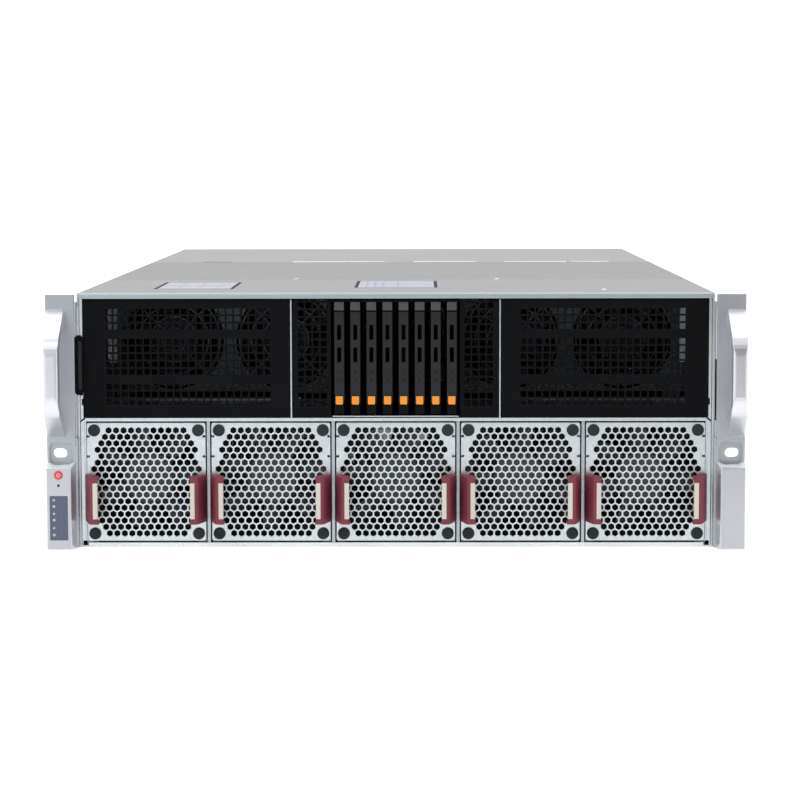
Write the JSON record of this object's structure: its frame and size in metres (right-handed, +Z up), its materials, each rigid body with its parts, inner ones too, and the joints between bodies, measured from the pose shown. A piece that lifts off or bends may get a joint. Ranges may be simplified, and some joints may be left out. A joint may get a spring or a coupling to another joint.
{
  "type": "4u gpu server",
  "caption": "Rack-mount server four units high, with hot-swap fan modules under a drive cage and vent panels, grab handles on its rack ears, and accelerator cards and power supplies behind.",
  "frame": {"origin": "centre of the whole server's footprint, on the plane it stands on", "axes": "+X to the right as seen from the front, -Y out of the front, +Z up"},
  "size_m": [0.4826, 0.867, 0.1776],
  "materials": {
    "steel": "bright zinc-coated sheet steel",
    "cover": "grey sheet metal, matt",
    "ear": "silver paint on cast metal",
    "power_red": "translucent red plastic",
    "black_steel": "black powder coat",
    "fan_black": "black glass-filled plastic",
    "board": "green circuit board",
    "card": "dark card shroud",
    "fan_grey": "grey fan plastic",
    "maroon": "maroon plastic with a cream soft grip",
    "lever_black": "dark grey plastic",
    "orange": "orange plastic",
    "carrier_grey": "grey plastic and aluminium drive case"
  },
  "bodies": {
    "root": {"chassis": "steel", "top_cover_front": "cover", "ear_left": "ear", "ear_right": "ear", "vent_panels": "black_steel", "drive_cage": "black_steel", "upper_fan_frames": "fan_black", "mainboard": "board", "accelerator_cards": "card", "power_supplies": "steel"},
    "rear_cover": {"top_cover_rear": "cover"},
    "power_button": {"power_button": "power_red"},
    "fan_module_1": {"fan_module_1": "steel"},
    "fan_rotor_1": {"fan_rotor_1": "fan_grey"},
    "fan_tab_left_1": {"fan_tab_left_1": "maroon"},
    "fan_tab_right_1": {"fan_tab_right_1": "maroon"},
    "fan_module_2": {"fan_module_2": "steel"},
    "fan_rotor_2": {"fan_rotor_2": "fan_grey"},
    "fan_tab_left_2": {"fan_tab_left_2": "maroon"},
    "fan_tab_right_2": {"fan_tab_right_2": "maroon"},
    "fan_module_3": {"fan_module_3": "steel"},
    "fan_rotor_3": {"fan_rotor_3": "fan_grey"},
    "fan_tab_left_3": {"fan_tab_left_3": "maroon"},
    "fan_tab_right_3": {"fan_tab_right_3": "maroon"},
    "fan_module_4": {"fan_module_4": "steel"},
    "fan_rotor_4": {"fan_rotor_4": "fan_grey"},
    "fan_tab_left_4": {"fan_tab_left_4": "maroon"},
    "fan_tab_right_4": {"fan_tab_right_4": "maroon"},
    "fan_module_5": {"fan_module_5": "steel"},
    "fan_rotor_5": {"fan_rotor_5": "fan_grey"},
    "fan_tab_left_5": {"fan_tab_left_5": "maroon"},
    "fan_tab_right_5": {"fan_tab_right_5": "maroon"},
    "upper_rotor_1": {"upper_rotor_1": "fan_grey"},
    "upper_rotor_2": {"upper_rotor_2": "fan_grey"},
    "upper_rotor_4": {"upper_rotor_4": "fan_grey"},
    "upper_rotor_5": {"upper_rotor_5": "fan_grey"},
    "drive_1": {"drive_1": "carrier_grey"},
    "drive_lever_1": {"drive_lever_1": "lever_black"},
    "drive_button_1": {"drive_button_1": "orange"},
    "drive_2": {"drive_2": "carrier_grey"},
    "drive_lever_2": {"drive_lever_2": "lever_black"},
    "drive_button_2": {"drive_button_2": "orange"},
    "drive_3": {"drive_3": "carrier_grey"},
    "drive_lever_3": {"drive_lever_3": "lever_black"},
    "drive_button_3": {"drive_button_3": "orange"},
    "drive_4": {"drive_4": "carrier_grey"},
    "drive_lever_4": {"drive_lever_4": "lever_black"},
    "drive_button_4": {"drive_button_4": "orange"},
    "drive_5": {"drive_5": "carrier_grey"},
    "drive_lever_5": {"drive_lever_5": "lever_black"},
    "drive_button_5": {"drive_button_5": "orange"},
    "drive_6": {"drive_6": "carrier_grey"},
    "drive_lever_6": {"drive_lever_6": "lever_black"},
    "drive_button_6": {"drive_button_6": "orange"},
    "drive_7": {"drive_7": "carrier_grey"},
    "drive_lever_7": {"drive_lever_7": "lever_black"},
    "drive_button_7": {"drive_button_7": "orange"},
    "drive_8": {"drive_8": "carrier_grey"},
    "drive_lever_8": {"drive_lever_8": "lever_black"},
    "drive_button_8": {"drive_button_8": "orange"}
  },
  "joints": [
    {"name": "rear_cover_slide", "type": "slide", "parent": "root", "child": "rear_cover", "axis": [0, 1, 0], "range_m": [0, 0.012]},
    {"name": "power_button_press", "type": "slide", "parent": "root", "child": "power_button", "axis": [0, 1, 0], "range_m": [0, 0.0008], "stiffness_N_per_m": 600},
    {"name": "fan_module_1_slide", "type": "slide", "parent": "root", "child": "fan_module_1", "axis": [0, -1, 0], "range_m": [0, 0.06]},
    {"name": "fan_rotor_1_spin", "type": "hinge", "parent": "fan_module_1", "child": "fan_rotor_1", "pos_m": [-0.1732, -0.361, 0.04565], "axis": [0, 1, 0], "continuous": true},
    {"name": "fan_tab_left_1_squeeze", "type": "hinge", "parent": "fan_module_1", "child": "fan_tab_left_1", "pos_m": [-0.211, -0.384, 0.03485], "axis": [0, 0, 1], "range_deg": [0, 4], "stiffness_Nm_per_rad": 0.6},
    {"name": "fan_tab_right_1_squeeze", "type": "hinge", "parent": "fan_module_1", "child": "fan_tab_right_1", "pos_m": [-0.1354, -0.384, 0.03485], "axis": [0, 0, -1], "range_deg": [0, 4], "stiffness_Nm_per_rad": 0.6},
    {"name": "fan_module_2_slide", "type": "slide", "parent": "root", "child": "fan_module_2", "axis": [0, -1, 0], "range_m": [0, 0.06]},
    {"name": "fan_rotor_2_spin", "type": "hinge", "parent": "fan_module_2", "child": "fan_rotor_2", "pos_m": [-0.0866, -0.361, 0.04565], "axis": [0, 1, 0], "continuous": true},
    {"name": "fan_tab_left_2_squeeze", "type": "hinge", "parent": "fan_module_2", "child": "fan_tab_left_2", "pos_m": [-0.1244, -0.384, 0.03485], "axis": [0, 0, 1], "range_deg": [0, 4], "stiffness_Nm_per_rad": 0.6},
    {"name": "fan_tab_right_2_squeeze", "type": "hinge", "parent": "fan_module_2", "child": "fan_tab_right_2", "pos_m": [-0.0488, -0.384, 0.03485], "axis": [0, 0, -1], "range_deg": [0, 4], "stiffness_Nm_per_rad": 0.6},
    {"name": "fan_module_3_slide", "type": "slide", "parent": "root", "child": "fan_module_3", "axis": [0, -1, 0], "range_m": [0, 0.06]},
    {"name": "fan_rotor_3_spin", "type": "hinge", "parent": "fan_module_3", "child": "fan_rotor_3", "pos_m": [0, -0.361, 0.04565], "axis": [0, 1, 0], "continuous": true},
    {"name": "fan_tab_left_3_squeeze", "type": "hinge", "parent": "fan_module_3", "child": "fan_tab_left_3", "pos_m": [-0.0378, -0.384, 0.03485], "axis": [0, 0, 1], "range_deg": [0, 4], "stiffness_Nm_per_rad": 0.6},
    {"name": "fan_tab_right_3_squeeze", "type": "hinge", "parent": "fan_module_3", "child": "fan_tab_right_3", "pos_m": [0.0378, -0.384, 0.03485], "axis": [0, 0, -1], "range_deg": [0, 4], "stiffness_Nm_per_rad": 0.6},
    {"name": "fan_module_4_slide", "type": "slide", "parent": "root", "child": "fan_module_4", "axis": [0, -1, 0], "range_m": [0, 0.06]},
    {"name": "fan_rotor_4_spin", "type": "hinge", "parent": "fan_module_4", "child": "fan_rotor_4", "pos_m": [0.0866, -0.361, 0.04565], "axis": [0, 1, 0], "continuous": true},
    {"name": "fan_tab_left_4_squeeze", "type": "hinge", "parent": "fan_module_4", "child": "fan_tab_left_4", "pos_m": [0.0488, -0.384, 0.03485], "axis": [0, 0, 1], "range_deg": [0, 4], "stiffness_Nm_per_rad": 0.6},
    {"name": "fan_tab_right_4_squeeze", "type": "hinge", "parent": "fan_module_4", "child": "fan_tab_right_4", "pos_m": [0.1244, -0.384, 0.03485], "axis": [0, 0, -1], "range_deg": [0, 4], "stiffness_Nm_per_rad": 0.6},
    {"name": "fan_module_5_slide", "type": "slide", "parent": "root", "child": "fan_module_5", "axis": [0, -1, 0], "range_m": [0, 0.06]},
    {"name": "fan_rotor_5_spin", "type": "hinge", "parent": "fan_module_5", "child": "fan_rotor_5", "pos_m": [0.1732, -0.361, 0.04565], "axis": [0, 1, 0], "continuous": true},
    {"name": "fan_tab_left_5_squeeze", "type": "hinge", "parent": "fan_module_5", "child": "fan_tab_left_5", "pos_m": [0.1354, -0.384, 0.03485], "axis": [0, 0, 1], "range_deg": [0, 4], "stiffness_Nm_per_rad": 0.6},
    {"name": "fan_tab_right_5_squeeze", "type": "hinge", "parent": "fan_module_5", "child": "fan_tab_right_5", "pos_m": [0.211, -0.384, 0.03485], "axis": [0, 0, -1], "range_deg": [0, 4], "stiffness_Nm_per_rad": 0.6},
    {"name": "upper_rotor_1_spin", "type": "hinge", "parent": "root", "child": "upper_rotor_1", "pos_m": [-0.172, -0.1825, 0.1306], "axis": [0, 1, 0], "continuous": true},
    {"name": "upper_rotor_2_spin", "type": "hinge", "parent": "root", "child": "upper_rotor_2", "pos_m": [-0.086, -0.1825, 0.1306], "axis": [0, 1, 0], "continuous": true},
    {"name": "upper_rotor_4_spin", "type": "hinge", "parent": "root", "child": "upper_rotor_4", "pos_m": [0.086, -0.1825, 0.1306], "axis": [0, 1, 0], "continuous": true},
    {"name": "upper_rotor_5_spin", "type": "hinge", "parent": "root", "child": "upper_rotor_5", "pos_m": [0.172, -0.1825, 0.1306], "axis": [0, 1, 0], "continuous": true},
    {"name": "drive_1_slide", "type": "slide", "parent": "root", "child": "drive_1", "axis": [0, -1, 0], "range_m": [0, 0.118]},
    {"name": "drive_lever_1_swing", "type": "hinge", "parent": "drive_1", "child": "drive_lever_1", "pos_m": [-0.03895, -0.3939, 0.1619], "axis": [-1, 0, 0], "range_deg": [0, 50]},
    {"name": "drive_button_1_press", "type": "slide", "parent": "drive_1", "child": "drive_button_1", "axis": [0, 1, 0], "range_m": [0, 0.0012], "stiffness_N_per_m": 300},
    {"name": "drive_2_slide", "type": "slide", "parent": "root", "child": "drive_2", "axis": [0, -1, 0], "range_m": [0, 0.118]},
    {"name": "drive_lever_2_swing", "type": "hinge", "parent": "drive_2", "child": "drive_lever_2", "pos_m": [-0.02782, -0.3939, 0.1619], "axis": [-1, 0, 0], "range_deg": [0, 50]},
    {"name": "drive_button_2_press", "type": "slide", "parent": "drive_2", "child": "drive_button_2", "axis": [0, 1, 0], "range_m": [0, 0.0012], "stiffness_N_per_m": 300},
    {"name": "drive_3_slide", "type": "slide", "parent": "root", "child": "drive_3", "axis": [0, -1, 0], "range_m": [0, 0.118]},
    {"name": "drive_lever_3_swing", "type": "hinge", "parent": "drive_3", "child": "drive_lever_3", "pos_m": [-0.0167, -0.3939, 0.1619], "axis": [-1, 0, 0], "range_deg": [0, 50]},
    {"name": "drive_button_3_press", "type": "slide", "parent": "drive_3", "child": "drive_button_3", "axis": [0, 1, 0], "range_m": [0, 0.0012], "stiffness_N_per_m": 300},
    {"name": "drive_4_slide", "type": "slide", "parent": "root", "child": "drive_4", "axis": [0, -1, 0], "range_m": [0, 0.118]},
    {"name": "drive_lever_4_swing", "type": "hinge", "parent": "drive_4", "child": "drive_lever_4", "pos_m": [-0.00556, -0.3939, 0.1619], "axis": [-1, 0, 0], "range_deg": [0, 50]},
    {"name": "drive_button_4_press", "type": "slide", "parent": "drive_4", "child": "drive_button_4", "axis": [0, 1, 0], "range_m": [0, 0.0012], "stiffness_N_per_m": 300},
    {"name": "drive_5_slide", "type": "slide", "parent": "root", "child": "drive_5", "axis": [0, -1, 0], "range_m": [0, 0.118]},
    {"name": "drive_lever_5_swing", "type": "hinge", "parent": "drive_5", "child": "drive_lever_5", "pos_m": [0.00556, -0.3939, 0.1619], "axis": [-1, 0, 0], "range_deg": [0, 50]},
    {"name": "drive_button_5_press", "type": "slide", "parent": "drive_5", "child": "drive_button_5", "axis": [0, 1, 0], "range_m": [0, 0.0012], "stiffness_N_per_m": 300},
    {"name": "drive_6_slide", "type": "slide", "parent": "root", "child": "drive_6", "axis": [0, -1, 0], "range_m": [0, 0.118]},
    {"name": "drive_lever_6_swing", "type": "hinge", "parent": "drive_6", "child": "drive_lever_6", "pos_m": [0.0167, -0.3939, 0.1619], "axis": [-1, 0, 0], "range_deg": [0, 50]},
    {"name": "drive_button_6_press", "type": "slide", "parent": "drive_6", "child": "drive_button_6", "axis": [0, 1, 0], "range_m": [0, 0.0012], "stiffness_N_per_m": 300},
    {"name": "drive_7_slide", "type": "slide", "parent": "root", "child": "drive_7", "axis": [0, -1, 0], "range_m": [0, 0.118]},
    {"name": "drive_lever_7_swing", "type": "hinge", "parent": "drive_7", "child": "drive_lever_7", "pos_m": [0.02782, -0.3939, 0.1619], "axis": [-1, 0, 0], "range_deg": [0, 50]},
    {"name": "drive_button_7_press", "type": "slide", "parent": "drive_7", "child": "drive_button_7", "axis": [0, 1, 0], "range_m": [0, 0.0012], "stiffness_N_per_m": 300},
    {"name": "drive_8_slide", "type": "slide", "parent": "root", "child": "drive_8", "axis": [0, -1, 0], "range_m": [0, 0.118]},
    {"name": "drive_lever_8_swing", "type": "hinge", "parent": "drive_8", "child": "drive_lever_8", "pos_m": [0.03895, -0.3939, 0.1619], "axis": [-1, 0, 0], "range_deg": [0, 50]},
    {"name": "drive_button_8_press", "type": "slide", "parent": "drive_8", "child": "drive_button_8", "axis": [0, 1, 0], "range_m": [0, 0.0012], "stiffness_N_per_m": 300}
  ]
}
